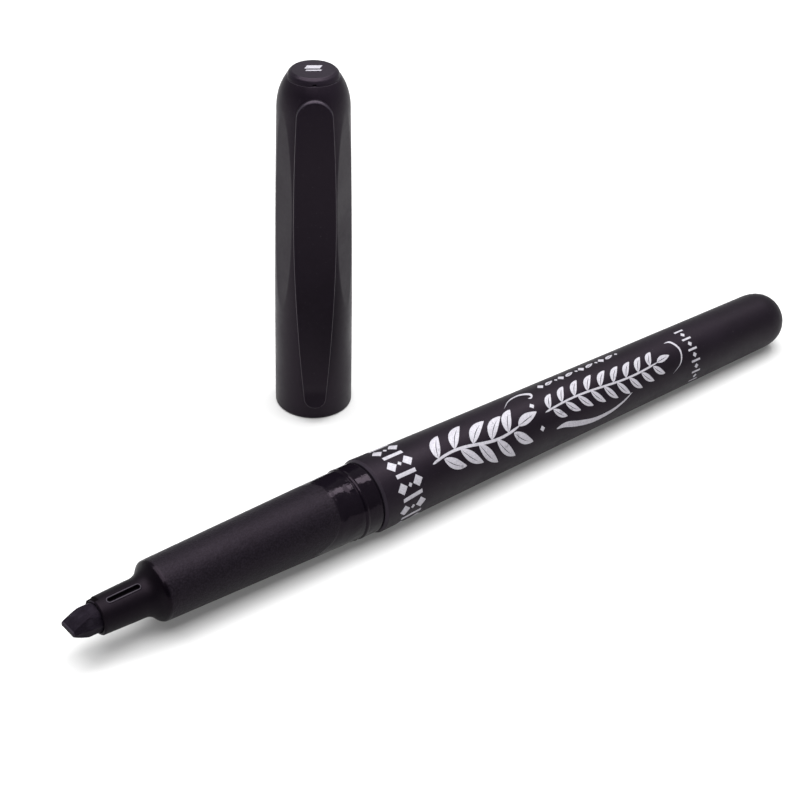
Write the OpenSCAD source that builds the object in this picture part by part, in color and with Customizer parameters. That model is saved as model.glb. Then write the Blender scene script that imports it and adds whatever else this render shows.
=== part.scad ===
// Calligraphy marker, uncapped: the marker lies on the ground with its nib
// toward -X, the cap stands on its mouth beside it. All sizes in mm, +Z up,
// ground at z = 0, origin under the middle of the whole arrangement.

/* [Barrel] */
// barrel length from front rim to the tip of the rear dome
barrel_length = 86.9; // [80:0.1:95]
// barrel radius at the front rim
barrel_front_r = 5.6; // [5:0.05:6.5]
// radius lost between the front rim and 80 mm behind it
barrel_taper = 0.95; // [0.2:0.05:1.5]
// inner radius of the barrel over the reservoir
barrel_bore_r = 3.85; // [3.6:0.05:4.1]
// inner radius of the socket that takes the section
socket_r = 4.36; // [4.2:0.01:4.6]
// depth of that socket
socket_depth = 12.6; // [8:0.1:18]
// height of the bevel at the front rim
rim_bevel = 0.36; // [0.1:0.02:0.6]

/* [Grip section] */
// radius of the grip just behind the shoulder
shoulder_r = 4.38; // [4:0.02:4.8]
// distance of the shoulder from the barrel rim
shoulder_at = 35.29; // [30:0.01:40]
// grip radius where the texture ends
grip_rear_r = 5.04; // [4.7:0.02:5.3]
// distance of the end of the texture from the barrel rim
texture_end = 8; // [5:0.1:12]
// radius of the smooth neck
neck_r = 5.1; // [4.9:0.02:5.3]
// radius of the cap seat, the wider band next to the barrel
seat_r = 5.28; // [5.1:0.01:5.45]
// distance of the front edge of the cap seat from the barrel rim
seat_at = 3.5; // [2.5:0.1:5]
// radius of the nib tube at its front rim
tube_r = 2.6; // [2.3:0.02:3]
// radius of the nib tube where the flare begins
tube_root_r = 2.8; // [2.5:0.02:3.1]
// distance of the tube front rim from the barrel rim
tube_at = 44.34; // [40:0.01:50]
// radius of the concave flare between tube and shoulder
flare_r = 2.4; // [1:0.1:4]
// radius of the cavity for the reservoir
cavity_r = 3.5; // [3.3:0.05:3.7]

/* [Nib and ink] */
// reach of the writing edge in front of the barrel rim
nib_reach = 48.45; // [46:0.05:52]
// radius of the felt rod
nib_r = 2.05; // [1.8:0.01:2.2]
// width of the writing edge
edge_width = 3; // [1.5:0.1:4]
// thickness of the writing edge
edge_thickness = 0.60; // [0.1:0.02:0.9]
// radius of the rear part of the rod that dips into the reservoir
tail_r = 1.6; // [1:0.05:1.9]
// radius of the fibre reservoir without its film
core_r = 3.28; // [3:0.02:3.4]
// thickness of the reservoir film
film_t = 0.12; // [0.08:0.01:0.2]
// distance of the reservoir front from the barrel rim
core_front = 26; // [20:0.5:30]
// distance of the reservoir rear from the barrel rim
core_rear = 68; // [50:0.5:72]

/* [Cap] */
// radius of the cap at its mouth
cap_r = 6; // [5.6:0.05:6.5]
// radius lost in the first 50 mm above the mouth
cap_taper = 0.62; // [0:0.02:1]
// height of the edge that surrounds the end plug
lip_z = 55.30; // [50:0.02:60]
// radius of that edge
lip_r = 3.92; // [3.5:0.02:4.4]
// full height of the cap with its end plug
cap_height = 56.37; // [52:0.01:62]
// radius of the flat top of the end plug
plug_top_r = 3.33; // [2.8:0.01:3.8]
// radius of the counterbore that takes the cap seat
mouth_bore_r = 5.34; // [5.2:0.01:5.5]
// depth of that counterbore
mouth_bore_depth = 3.7; // [2.5:0.1:5]
// radius of the bore that takes the neck
neck_bore_r = 5.17; // [5:0.01:5.3]
// depth of each side scoop
scoop_depth = 0.43; // [0.1:0.01:0.8]
// height of the middle of the side scoops
scoop_z = 35; // [25:0.5:45]
// half length of the side scoops
scoop_half = 16; // [10:0.5:22]
// angle of the side scoops from the clip
scoop_angle = 58; // [45:1:90]

/* [Clip] */
// half width of the clip where it is widest
clip_half = 3.14; // [2.5:0.02:4]
// height of the clip's lowest point
clip_tip_z = 3.2; // [2:0.1:10]
// height of the top of the clip's arch
clip_top_z = 53.9; // [50:0.1:54.5]
// how far the clip face stands out from the cap
clip_proud = 1.1; // [0.6:0.05:2]
// free gap between clip and cap
clip_gap = 0.3; // [0.1:0.05:0.6]
// height of the line the clip bends about
hinge_z = 50; // [46:0.1:52]
// distance of that line from the cap axis
hinge_y = 5.5; // [5:0.05:6]

/* [Arrangement] */
// how far the cap stands behind the barrel rim along the marker
cap_along = 13.96; // [-40:0.01:60]
// how far the cap stands beside the marker axis
cap_aside = 31.1; // [15:0.1:60]
// angle of the clip about the cap axis, 0 facing -Y
clip_turn = -34.83; // [-180:0.01:180]

/* [Hidden] */
$fn = 96;
e = 0.01;
dome_from = 81.5;
dome_power = 2.6;
section_rear = 12;
pen_tilt = atan((barrel_front_r - barrel_r(82)) / 82);
pen_x = -(barrel_length - nib_reach) / 2;
pen_y = -(cap_aside + cap_r - barrel_front_r) / 2;
pen_z = barrel_front_r * cos(pen_tilt);
cap_x = pen_x + cap_along;
cap_y = pen_y + cap_aside;

function barrel_r(u) = barrel_front_r - barrel_taper * pow(u / 80, 0.75);
function dome_r(u) = barrel_r(dome_from) *
    pow(1 - pow((u - dome_from) / (barrel_length - dome_from), dome_power), 1 / dome_power);
function cap_rad(z) = cap_r - cap_taper * pow(z / 50, 1.9);
// shoulder of the cap: a quarter ellipse from z = 50 up to the lip
function shoulder_rad(z) = lip_r - 0.39 + (cap_rad(50) - lip_r + 0.39)
    * sqrt(1 - pow((z - 50) / (lip_z - 50 + 0.06), 2));
// front-view half width of the clip between its rounded ends
function clip_w(z) = clip_half * (1 - 0.19 * pow((z - 33) / 20, 2) * (z > 33 ? 1 : 0)
    - 0.45 * pow(max(0, (33 - z)) / 28, 1.75));

// marker pieces are drawn along +Z from the barrel rim and laid down here;
// the side that ends up on top is -X, the side that faces -Y stays there
module lay_down() translate([pen_x, pen_y, pen_z]) rotate([0, 90 + pen_tilt, 0]) children();
// cap pieces are drawn standing, clip toward -Y
module stand_up() translate([cap_x, cap_y, 0]) rotate([0, 0, clip_turn]) children();

// ---------------------------------------------------------------- barrel
module barrel_body() {
    difference() {
        rotate_extrude() polygon(concat(
            [[0, -0.45], [barrel_front_r - rim_bevel, -0.45], [barrel_front_r - 0.04, -0.08]],
            [for (i = [0 : 16]) let (u = dome_from * i / 16) [barrel_r(u), u]],
            [for (i = [1 : 15]) let (u = dome_from + (barrel_length - dome_from) * sin(90 * i / 16))
                [dome_r(u), u]],
            [[0, barrel_length]]));
        // socket for the section, with a small lead-in
        translate([0, 0, -1]) cylinder(r = socket_r, h = 1 + socket_depth);
        translate([0, 0, -0.46]) cylinder(r1 = socket_r + 0.3, r2 = socket_r, h = 0.3);
        // reservoir space, closed by a rounded bottom
        translate([0, 0, socket_depth - e]) cylinder(r = barrel_bore_r, h = 78 - socket_depth);
        translate([0, 0, 78 - 2 * e]) cylinder(r1 = barrel_bore_r, r2 = 2.4, h = 5.4);
    }
    // four moulded fins that stop the reservoir at the rear
    difference() {
        for (k = [0 : 3]) rotate([0, 0, 45 + 90 * k])
            translate([1.2, -0.4, core_rear + 0.25]) cube([2.95, 0.8, 83.6 - core_rear]);
        translate([0, 0, 60]) difference() {
            cylinder(r = 9, h = 30);
            translate([0, 0, -1]) cylinder(r = barrel_bore_r + 0.3, h = 32);
        }
    }
}
module barrel() color([0.09, 0.085, 0.095]) lay_down() barrel_body();

// ----------------------------------------------------------- grip section
function flare_cut() = 49;
module section_outer() rotate_extrude() polygon(concat(
    [[0, -tube_at], [tube_r - 0.12, -tube_at], [tube_r, -tube_at + 0.16],
     [tube_root_r - 0.03, -39.2]],
    // concave flare
    [for (i = [0 : 10]) let (t = flare_cut() * i / 10)
        [tube_root_r + flare_r * (1 - cos(t)), -38.1 + flare_r * sin(t)]],
    // rounded shoulder
    [for (i = [0 : 8]) let (t = flare_cut() * (1 - i / 8))
        [shoulder_r - 0.75 + 0.75 * cos(t), -shoulder_at - 0.75 * sin(t)]],
    [[grip_rear_r, -texture_end], [grip_rear_r + 0.03, -texture_end + 0.4],
     [neck_r, -seat_at - 0.14], [seat_r - 0.03, -seat_at], [seat_r, -seat_at + 0.12],
     [seat_r, -0.85], [seat_r - 0.14, -0.6], [socket_r - 0.02, -0.6],
     [socket_r - 0.02, section_rear - 0.4], [socket_r - 0.3, section_rear], [0, section_rear]]));
module grip_section_body() {
    difference() {
        union() {
            section_outer();
            // three snap pads just ahead of the cap seat
            for (k = [0 : 2]) rotate([0, 0, 180 + 22 + 120 * k])
                translate([neck_r + 0.1 - 1.3, 0, -seat_at - 0.75]) sphere(r = 1.3, $fn = 48);
        }
        // bore of the nib tube, with a bevelled mouth
        translate([0, 0, -tube_at - 1]) cylinder(r = nib_r + 0.05, h = 14);
        translate([0, 0, -tube_at - e]) cylinder(r1 = nib_r + 0.22, r2 = nib_r + 0.04, h = 0.3);
        // neck down to the tail of the rod, then the reservoir cavity
        translate([0, 0, -32]) cylinder(r = tail_r + 0.35, h = 3);
        translate([0, 0, -30.2]) cylinder(r1 = tail_r + 0.35, r2 = cavity_r, h = 1.7 + e);
        translate([0, 0, -28.5]) cylinder(r = cavity_r, h = 28.5 + section_rear + 1);
        // two long vents through the tube wall
        for (k = [0, 1]) rotate([0, 0, 180 + 17 + 180 * k]) {
            translate([nib_r - 0.3, 0, -42.65]) rotate([0, 90, 0]) cylinder(r = 0.26, h = 2, $fn = 32);
            translate([nib_r - 0.3, 0, -38.25]) rotate([0, 90, 0]) cylinder(r = 0.26, h = 2, $fn = 32);
            translate([nib_r - 0.3, -0.26, -42.65]) cube([2, 0.52, 4.4]);
        }
        // two short keyways open at the front rim
        for (k = [0, 1]) rotate([0, 0, 180 - 45 + 180 * k])
            translate([nib_r - 0.3, -0.5, -tube_at - 1]) cube([2, 1, 2.5]);
    }
}
module grip_section() color([0.075, 0.07, 0.08]) lay_down() grip_section_body();

// -------------------------------------------------------------- chisel nib
// the two writing faces are cylinders across the rod that meet at the edge
face_r = (pow(nib_reach - 43.2, 2) + pow(nib_r + 0.01 - edge_thickness / 2, 2))
    / (2 * (nib_r + 0.01 - edge_thickness / 2));
module chisel_nib_body() {
    intersection() {
        translate([0, 0, -nib_reach]) cylinder(r = nib_r, h = nib_reach - 43.5);
        translate([face_r - nib_r - 0.01, 0, -43.2]) rotate([90, 0, 0])
            cylinder(r = face_r, h = 10, center = true);
        translate([-face_r + nib_r + 0.01, 0, -43.2]) rotate([90, 0, 0])
            cylinder(r = face_r, h = 10, center = true);
        rotate([0, 90, 0]) translate([0, 0, -5]) linear_extrude(10)
            polygon([[nib_reach, -edge_width / 2], [nib_reach, edge_width / 2],
                [nib_reach - 3, 2.2], [40, 2.2], [40, -2.2], [nib_reach - 3, -2.2]]);
    }
    translate([0, 0, -43.5 - e]) cylinder(r = nib_r, h = 10.9 + e);
    translate([0, 0, -32.6 - e]) cylinder(r1 = nib_r, r2 = tail_r, h = 0.6 + e);
    translate([0, 0, -32 - e]) cylinder(r = tail_r, h = 9.4 + 2 * e);
    translate([0, 0, -22.6]) cylinder(r1 = tail_r, r2 = 0.9, h = 2.2);
}
module chisel_nib() color([0.12, 0.11, 0.13]) lay_down() chisel_nib_body();

// --------------------------------------------------------------- reservoir
module ink_reservoir_core_body() difference() {
    translate([0, 0, -core_front]) cylinder(r = core_r, h = core_front + core_rear);
    translate([0, 0, -core_front - 1]) cylinder(r = tail_r + 0.03, h = 1 + core_front - 20.2);
}
module ink_reservoir_core() color([0.2, 0.18, 0.26]) lay_down() ink_reservoir_core_body();
module reservoir_film_sleeve_body() difference() {
    translate([0, 0, -core_front + 0.4]) cylinder(r = core_r + 0.01 + film_t, h = core_front + core_rear - 0.8);
    translate([0, 0, -core_front - 1]) cylinder(r = core_r + 0.01, h = core_front + core_rear + 2);
}
module reservoir_film_sleeve() color([0.8, 0.82, 0.86, 1]) lay_down() reservoir_film_sleeve_body();

// --------------------------------------------------------------- cap shell
module cap_solid(grow = 0) rotate_extrude() polygon(concat(
    [[0, 0], [cap_r - 0.34 + grow, 0], [cap_r - 0.12 + grow, 0.09], [cap_r - 0.02 + grow, 0.32]],
    [for (i = [1 : 20]) let (z = 50 * i / 20) [cap_rad(z) + grow, z]],
    [for (i = [1 : 12]) let (z = 50 + (lip_z - 50) * sin(90 * i / 12))
        [shoulder_rad(z) + grow, z]],
    [[0, lip_z]]));
scoop_big = pow(scoop_half, 2) / (2 * (scoop_depth - 0.05));
module cap_shell_body() difference() {
    cap_solid();
    // shallow scoops either side of the clip
    for (s = [-1, 1]) rotate([0, 0, -90 + s * scoop_angle])
        translate([cap_rad(scoop_z) - scoop_depth, 0, scoop_z]) rotate([0, -0.93, 0])
            translate([scoop_big, 0, 0]) rotate([90, 0, 0])
                cylinder(r = scoop_big, h = 14, center = true, $fn = 360);
    // mouth: lead-in, counterbore for the cap seat, snap groove, neck bore
    translate([0, 0, -e]) cylinder(r1 = mouth_bore_r + 0.1, r2 = mouth_bore_r, h = 0.2);
    translate([0, 0, -1]) cylinder(r = mouth_bore_r, h = 1 + mouth_bore_depth);
    translate([0, 0, mouth_bore_depth - e]) cylinder(r = neck_bore_r + 0.16, h = 1.2);
    translate([0, 0, mouth_bore_depth]) cylinder(r = neck_bore_r, h = 14);
    translate([0, 0, mouth_bore_depth + 14 - e]) cylinder(r1 = neck_bore_r, r2 = 4.72, h = 3);
    translate([0, 0, mouth_bore_depth + 17 - 2 * e]) cylinder(r = 4.72, h = 45 - mouth_bore_depth - 17);
    translate([0, 0, 45 - 3 * e]) cylinder(r1 = 4.72, r2 = 4.2, h = 0.6);
    translate([0, 0, 45]) cylinder(r = 4.2, h = 7);
    // seat of the end plug
    translate([0, 0, 51]) cylinder(r = 2.92, h = 6);
    translate([0, 0, 54.4]) cylinder(r = lip_r - 0.12, h = 2);
    // pocket for the root of the clip
    translate([0, -hinge_y, hinge_z]) rotate([0, 90, 0])
        cylinder(r = 1.03, h = 3.4, center = true, $fn = 64);
}
module cap_shell() color([0.1, 0.095, 0.105]) stand_up() cap_shell_body();

// ------------------------------------------------------------ cap end plug
module cap_end_plug_body() difference() {
    union() {
        rotate_extrude() polygon([[0, 54.42], [lip_r - 0.15, 54.42], [lip_r - 0.15, lip_z + 0.02],
            [lip_r - 0.2, lip_z + 0.22], [lip_r - 0.29, lip_z + 0.52], [plug_top_r + 0.12, cap_height - 0.24],
            [plug_top_r + 0.04, cap_height - 0.06], [plug_top_r - 0.06, cap_height], [0, cap_height]]);
        translate([0, 0, 52.4]) cylinder(r = 2.9, h = 2.1);
    }
    // hollow stem
    translate([0, 0, 52]) cylinder(r = 2.2, h = 2.9);
    // small release notch at the front of the lip
    translate([-0.32, -lip_r, lip_z + 0.05]) cube([0.64, 0.42, 0.24]);
}
module cap_end_plug() color([0.07, 0.065, 0.075]) stand_up() cap_end_plug_body();

// ---------------------------------------------------------- inner cap seal
module inner_cap_seal_body() difference() {
    union() {
        translate([0, 0, 33.5]) cylinder(r = 4.68, h = 11.2);
        translate([0, 0, 44.7 - e]) cylinder(r1 = 4.68, r2 = 4.16, h = 0.5);
        translate([0, 0, 45.2 - 2 * e]) cylinder(r = 4.16, h = 6.6);
    }
    // sealing cone that meets the flare, then the space round the nib
    translate([0, 0, 33.4]) cylinder(r1 = 4.5, r2 = 4.3, h = 2);
    translate([0, 0, 35.4 - e]) cylinder(r1 = 4.3, r2 = 2.95, h = 2);
    translate([0, 0, 37.4 - 2 * e]) cylinder(r = 2.95, h = 13.2);
}
module inner_cap_seal() color([0.75, 0.75, 0.78]) stand_up() inner_cap_seal_body();

// ------------------------------------------------------------- pocket clip
clip_z0 = clip_tip_z + 1.5;
clip_z1 = clip_top_z - 2.63;
module clip_outline() union() {
    // the outline stands in x (half width) and z
    polygon(concat(
        [for (i = [0 : 18]) let (z = clip_z0 + (clip_z1 - clip_z0) * i / 18) [clip_w(z), z]],
        [for (i = [18 : -1 : 0]) let (z = clip_z0 + (clip_z1 - clip_z0) * i / 18) [-clip_w(z), z]]));
    translate([0, clip_z1]) circle(r = clip_w(clip_z1));
    translate([0, clip_z0]) circle(r = clip_w(clip_z0));
}
module pocket_clip_body() union() {
    difference() {
        // plate in front of the cap
        intersection() {
            rotate([90, 0, 0]) linear_extrude(9) clip_outline();
            // side view: face that leans with the cap, nose turned out
            rotate([90, 0, 90]) translate([0, 0, -5]) linear_extrude(10) polygon([
                [-3, clip_tip_z - 1], [-cap_r - clip_proud - 0.25, clip_tip_z - 0.2],
                [-cap_r - clip_proud - 0.35, clip_tip_z + 0.2], [-cap_r - clip_proud + 0.12, clip_tip_z + 2.1], [-cap_r - clip_proud, clip_tip_z + 3.4],
                [-cap_rad(30) - clip_proud + 0.06, 30], [-cap_rad(50) - clip_proud + 0.33, clip_top_z - 0.35],
                [-cap_rad(50) - clip_proud + 0.63, clip_top_z + 0.4],
                [-3, clip_top_z + 0.4]]);
        }
        cap_solid(clip_gap);
    }
    // root that reaches into the pocket of the cap wall
    translate([0, -hinge_y, hinge_z]) rotate([0, 90, 0])
        cylinder(r = 0.7, h = 3, center = true, $fn = 64);
}
module pocket_clip() color([0.085, 0.08, 0.09]) stand_up() pocket_clip_body();

barrel();
grip_section();
chisel_nib();
ink_reservoir_core();
reservoir_film_sleeve();
cap_shell();
cap_end_plug();
inner_cap_seal();
pocket_clip();
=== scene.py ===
"""Calligraphy marker: looks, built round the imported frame. Metres, row frame."""
import math
import bpy
import bmesh
import numpy as np
from mathutils import Matrix, Vector


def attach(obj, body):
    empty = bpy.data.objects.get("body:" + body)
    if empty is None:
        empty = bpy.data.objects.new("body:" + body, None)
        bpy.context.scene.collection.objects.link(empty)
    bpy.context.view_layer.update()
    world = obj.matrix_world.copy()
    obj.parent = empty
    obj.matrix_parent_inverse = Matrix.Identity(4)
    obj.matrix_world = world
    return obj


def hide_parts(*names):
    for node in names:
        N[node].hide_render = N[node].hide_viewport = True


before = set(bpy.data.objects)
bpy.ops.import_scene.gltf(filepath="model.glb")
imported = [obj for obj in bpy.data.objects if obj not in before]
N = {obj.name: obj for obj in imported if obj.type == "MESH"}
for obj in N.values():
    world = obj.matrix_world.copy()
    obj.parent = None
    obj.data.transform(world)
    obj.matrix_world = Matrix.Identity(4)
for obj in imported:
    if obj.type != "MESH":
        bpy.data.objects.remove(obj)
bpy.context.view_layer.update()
MM = 0.001
rng = np.random.default_rng(7)

WORLD_B, WORLD_F = 0.50, 0.04

# ------------------------------------------------------------------ layout
# the same numbers as the solids, in mm
BL, NIB, BFR, BTAP = 86.9, 48.45, 5.6, 0.95
def barrel_r(u):
    return BFR - BTAP * (np.maximum(u, 0.0) / 80.0) ** 0.75
DOME = 81.5
TILT = math.atan((BFR - float(barrel_r(82.0))) / 82.0)
PX, PY = -(BL - NIB) / 2, -(31.1 + 6.0 - BFR) / 2
PZ = BFR * math.cos(TILT)
CX, CY = PX + 13.96, PY + 31.1
TURN = math.radians(-34.83)
CT, ST = math.cos(TILT), math.sin(TILT)

def pen(u, phi, r):
    """Point of the marker: u mm behind the barrel rim, phi radians from the top towards -Y."""
    u, phi, r = np.broadcast_arrays(u, phi, r)
    c, s = np.cos(phi), np.sin(phi)
    return np.stack([PX + r * c * ST + u * CT, PY - r * s, PZ + r * c * CT - u * ST], -1) * MM

def cap(x, y, z):
    """Point of the standing cap; its clip faces local -Y."""
    x, y, z = np.broadcast_arrays(x, y, z)
    return np.stack([CX + x * math.cos(TURN) - y * math.sin(TURN),
                     CY + x * math.sin(TURN) + y * math.cos(TURN), z + 0.0 * x], -1) * MM

def cap_pol(az, r, z):
    return cap(r * np.sin(az), -r * np.cos(az), z)

# --------------------------------------------------------------- mesh tools
def make(name, verts, faces, mat, body, replaces=(), smooth=True, merge=2e-7, flip=None):
    me = bpy.data.meshes.new(name)
    me.from_pydata([tuple(v) for v in verts], [], faces)
    bm = bmesh.new()
    bm.from_mesh(me)
    if merge:
        bmesh.ops.remove_doubles(bm, verts=bm.verts, dist=merge)
    bmesh.ops.dissolve_degenerate(bm, edges=bm.edges, dist=1e-9)
    if flip is None:
        bmesh.ops.recalc_face_normals(bm, faces=bm.faces)
    elif flip:
        bmesh.ops.reverse_faces(bm, faces=bm.faces)
    bm.to_mesh(me)
    bm.free()
    for p in me.polygons:
        p.use_smooth = smooth
    ob = bpy.data.objects.new(name, me)
    bpy.context.scene.collection.objects.link(ob)
    me.materials.append(mat)
    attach(ob, body)
    if replaces:
        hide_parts(*replaces)
    return ob

def grid(P, wrap_cols=True, wrap_rows=False):
    """Vertices and quads of a [rows, cols, 3] array."""
    R, C = P.shape[:2]
    idx = np.arange(R * C).reshape(R, C)
    r1 = np.roll(idx, -1, 0) if wrap_rows else idx[1:]
    a = idx if wrap_rows else idx[:-1]
    if wrap_cols:
        b, c = np.roll(a, -1, 1), np.roll(r1, -1, 1)
        a2, r2 = a, r1
    else:
        b, c = a[:, 1:], r1[:, 1:]
        a2, r2 = a[:, :-1], r1[:, :-1]
    q = np.stack([a2, b, c, r2], -1).reshape(-1, 4)
    return P.reshape(-1, 3), q.tolist()

def fillet(pts, rad, n=5, closed=False):
    """Polyline with rounded corners and support points beside each arc. pts: (r, u)."""
    pts = [np.array(p, float) for p in pts]
    m = len(pts)
    out = []
    for i, p in enumerate(pts):
        ro = rad[i] if isinstance(rad, (list, tuple)) else rad
        if (not closed and i in (0, m - 1)) or ro <= 0:
            out.append(p)
            continue
        a, b = pts[i - 1], pts[(i + 1) % m]
        da, db = a - p, b - p
        la, lb = np.linalg.norm(da), np.linalg.norm(db)
        da, db = da / la, db / lb
        cosang = np.clip(da @ db, -1, 1)
        ang = math.acos(cosang)
        if ang > math.pi - 0.02:
            out.append(p)
            continue
        t = min(ro / math.tan(ang / 2), 0.42 * la, 0.42 * lb)
        ro = t * math.tan(ang / 2)
        s, e = p + da * t, p + db * t
        bis = (da + db) / np.linalg.norm(da + db)
        c = p + bis * ro / math.sin(ang / 2)
        va, vb = s - c, e - c
        tot = math.acos(np.clip(va @ vb / (np.linalg.norm(va) * np.linalg.norm(vb)), -1, 1))
        sg = 1.0 if va[0] * vb[1] - va[1] * vb[0] > 0 else -1.0
        out.append(p + da * min(t * 1.35, 0.49 * la))
        for k in range(n + 1):
            w = sg * tot * k / n
            out.append(c + np.array([va[0] * math.cos(w) - va[1] * math.sin(w),
                                     va[0] * math.sin(w) + va[1] * math.cos(w)]))
        out.append(p + db * min(t * 1.35, 0.49 * lb))
    return out

def resample(pts, step, closed=False):
    """Splits long segments; step may depend on the point: step(r, u)."""
    out = []
    pts = [np.array(p, float) for p in pts]
    seq = list(zip(pts, pts[1:] + ([pts[0]] if closed else [])))
    for a, b in seq:
        out.append(a)
        st = step(*(a + b) / 2) if callable(step) else step
        k = int(np.linalg.norm(b - a) // st)
        for j in range(1, k + 1):
            out.append(a + (b - a) * j / (k + 1))
    if not closed:
        out.append(pts[-1])
    return np.array(out)

def smin(a, b, k):
    h = np.clip(0.5 + 0.5 * (b - a) / k, 0, 1)
    return b + (a - b) * h - k * h * (1 - h)

def sstep(x, a, b):
    t = np.clip((x - a) / (b - a), 0, 1)
    return t * t * (3 - 2 * t)

# --------------------------------------------------------------- materials
TINT = (1.0, 0.78, 1.0, 1)

class T:
    """Small node-tree writer."""
    def __init__(self, name):
        self.m = bpy.data.materials.new(name)
        self.m.use_nodes = True
        self.nt = self.m.node_tree
        self.nt.nodes.clear()
        self.out = self.nt.nodes.new("ShaderNodeOutputMaterial")
        self.b = self.nt.nodes.new("ShaderNodeBsdfPrincipled")
        self.link(self.b.outputs[0], self.out.inputs[0])
        self.co = self.nt.nodes.new("ShaderNodeTexCoord").outputs["Object"]

    def link(self, a, b):
        self.nt.links.new(a, b)

    def node(self, kind, ins=None, **props):
        n = self.nt.nodes.new(kind)
        for k, v in props.items():
            setattr(n, k, v)
        for k, v in (ins or {}).items():
            if hasattr(v, "default_value") or isinstance(v, bpy.types.NodeSocket):
                self.link(v, n.inputs[k])
            else:
                n.inputs[k].default_value = v
        return n

    def math(self, op, a, b=0.0, clamp=False):
        n = self.node("ShaderNodeMath", {0: a, 1: b}, operation=op)
        n.use_clamp = clamp
        return n.outputs[0]

    def mapped(self, scale):
        return self.node("ShaderNodeMapping", {"Vector": self.co, "Scale": scale}).outputs[0]

    def noise(self, scale, detail=3.0, rough=0.55, vec=None):
        return self.node("ShaderNodeTexNoise", {"Vector": vec or self.co, "Scale": scale,
                         "Detail": detail, "Roughness": rough}).outputs["Fac"]

    def ramp(self, fac, lo, hi, a=(0, 0, 0, 1), b=(1, 1, 1, 1)):
        n = self.node("ShaderNodeValToRGB", {"Fac": fac})
        n.color_ramp.elements[0].position, n.color_ramp.elements[1].position = lo, hi
        n.color_ramp.elements[0].color, n.color_ramp.elements[1].color = a, b
        return n.outputs["Color"]

    def remap(self, fac, a, b, c, d):
        return self.node("ShaderNodeMapRange", {"Value": fac, "From Min": a, "From Max": b,
                         "To Min": c, "To Max": d}).outputs["Result"]

    def mixc(self, fac, a, b):
        n = self.nt.nodes.new("ShaderNodeMix")
        n.data_type = "RGBA"
        for k, v in ((0, fac), (6, a), (7, b)):
            if isinstance(v, bpy.types.NodeSocket):
                self.link(v, n.inputs[k])
            else:
                n.inputs[k].default_value = v
        return n.outputs[2]

    def bump(self, h, dist, strength=1.0, normal=None):
        ins = {"Height": h, "Distance": dist, "Strength": strength}
        n = self.node("ShaderNodeBump", ins)
        if normal is not None:
            self.link(normal, n.inputs["Normal"])
        return n.outputs[0]

    def set(self, **kw):
        for k, v in kw.items():
            k = k.replace("_", " ")
            s = self.b.inputs[k]
            if isinstance(v, bpy.types.NodeSocket):
                self.link(v, s)
            else:
                s.default_value = v
        return self

def plastic(name, col, rough, fine=0.00000, fine_scale=9000, var=0.05, spec=0.5, coat=0.0, dust=0.0, painted_edge_light=None):
    """Moulded plastic. The last argument, a tuple (direction, on from, on to, off from, off to, colour), paints a
    highlight: faces whose tilt to the direction falls in the band get the lighter colour.
    """
    t = T(name)
    big = t.noise(160, 3)
    mid = t.noise(1400, 2)
    c = t.mixc(t.remap(big, 0.35, 0.65, 0, 1), (*[x * 0.86 for x in col], 1), (*[x * 1.14 for x in col], 1))
    if dust:
        sp = t.ramp(t.noise(3600, 1), 0.735, 0.76)
        c = t.mixc(t.math("MULTIPLY", sp, dust), c, (0.25, 0.24, 0.26, 1))
    r = t.math("ADD", t.remap(big, 0.3, 0.7, rough - var, rough + var), t.remap(mid, 0.3, 0.7, -var * 0.5, var * 0.5))
    # painted highlight: faces turned towards the direction get a lighter colour and a little less roughness
    if painted_edge_light:
        nrm = t.nt.nodes.new("ShaderNodeTexCoord").outputs["Normal"]
        tilt = t.node("ShaderNodeVectorMath", {0: nrm, 1: painted_edge_light[0]}, operation="DOT_PRODUCT").outputs["Value"]
        k1 = t.node("ShaderNodeMapRange", {"Value": tilt, "From Min": painted_edge_light[1], "From Max": painted_edge_light[2]}, interpolation_type="SMOOTHSTEP").outputs[0]
        k2 = t.node("ShaderNodeMapRange", {"Value": tilt, "From Min": painted_edge_light[3], "From Max": painted_edge_light[4], "To Min": 1.0, "To Max": 0.0}, interpolation_type="SMOOTHSTEP").outputs[0]
        k = t.math("MULTIPLY", k1, k2)
        c = t.mixc(k, c, (*painted_edge_light[5], 1))
        r = t.math("SUBTRACT", r, t.math("MULTIPLY", k, 0.10))
    n = t.bump(mid, 0.0000035, 0.6)
    if fine:
        n = t.bump(t.noise(fine_scale, 2), fine, 1.0, n)
    t.set(Base_Color=c, Roughness=r, Normal=n, IOR=1.49, Specular_IOR_Level=spec, Specular_Tint=TINT)
    if coat:
        t.set(Coat_Weight=coat, Coat_Roughness=0.05)
    return t.m

# painted highlight on the barrel's front rim and chamfer, the faces turned towards -X
M_barrel = plastic("satin_barrel", (0.0036, 0.0025, 0.0045), 0.50, spec=0.138, fine=0.000006, fine_scale=7500, dust=0.06,
                   painted_edge_light=((-1, 0, 0), 0.30, 0.62, 1.1, 1.2, (0.0150, 0.0125, 0.0172)))
# painted highlight on the cap's upward-facing faces, chiefly the lip ring round the plug
M_cap = plastic("satin_cap", (0.0044, 0.0030, 0.0056), 0.44, spec=0.17, fine=0.000005, fine_scale=7500, dust=0.05,
                painted_edge_light=((0, 0, 1), 0.72, 0.92, 1.1, 1.2, (0.022, 0.019, 0.025)))
M_gloss = plastic("gloss_plug", (0.0082, 0.0062, 0.0100), 0.40, var=0.12, spec=0.15)
# painted highlight along the clip's rounded edge, the faces half turned from its front
M_clip = plastic("clip_face", (0.0034, 0.0023, 0.0044), 0.42, spec=0.15, fine=0.000004, fine_scale=8000, dust=0.05,
                 painted_edge_light=((math.sin(TURN), -math.cos(TURN), 0), 0.08, 0.35, 0.80, 0.95, (0.023, 0.0195, 0.026)))
M_liner = plastic("natural_liner", (0.62, 0.61, 0.57), 0.42, fine=0.000002)
M_core = plastic("ink_fibre", (0.02, 0.018, 0.03), 0.8, fine=0.00002, fine_scale=6000)
M_film = plastic("film", (0.6, 0.62, 0.66), 0.2)

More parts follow.
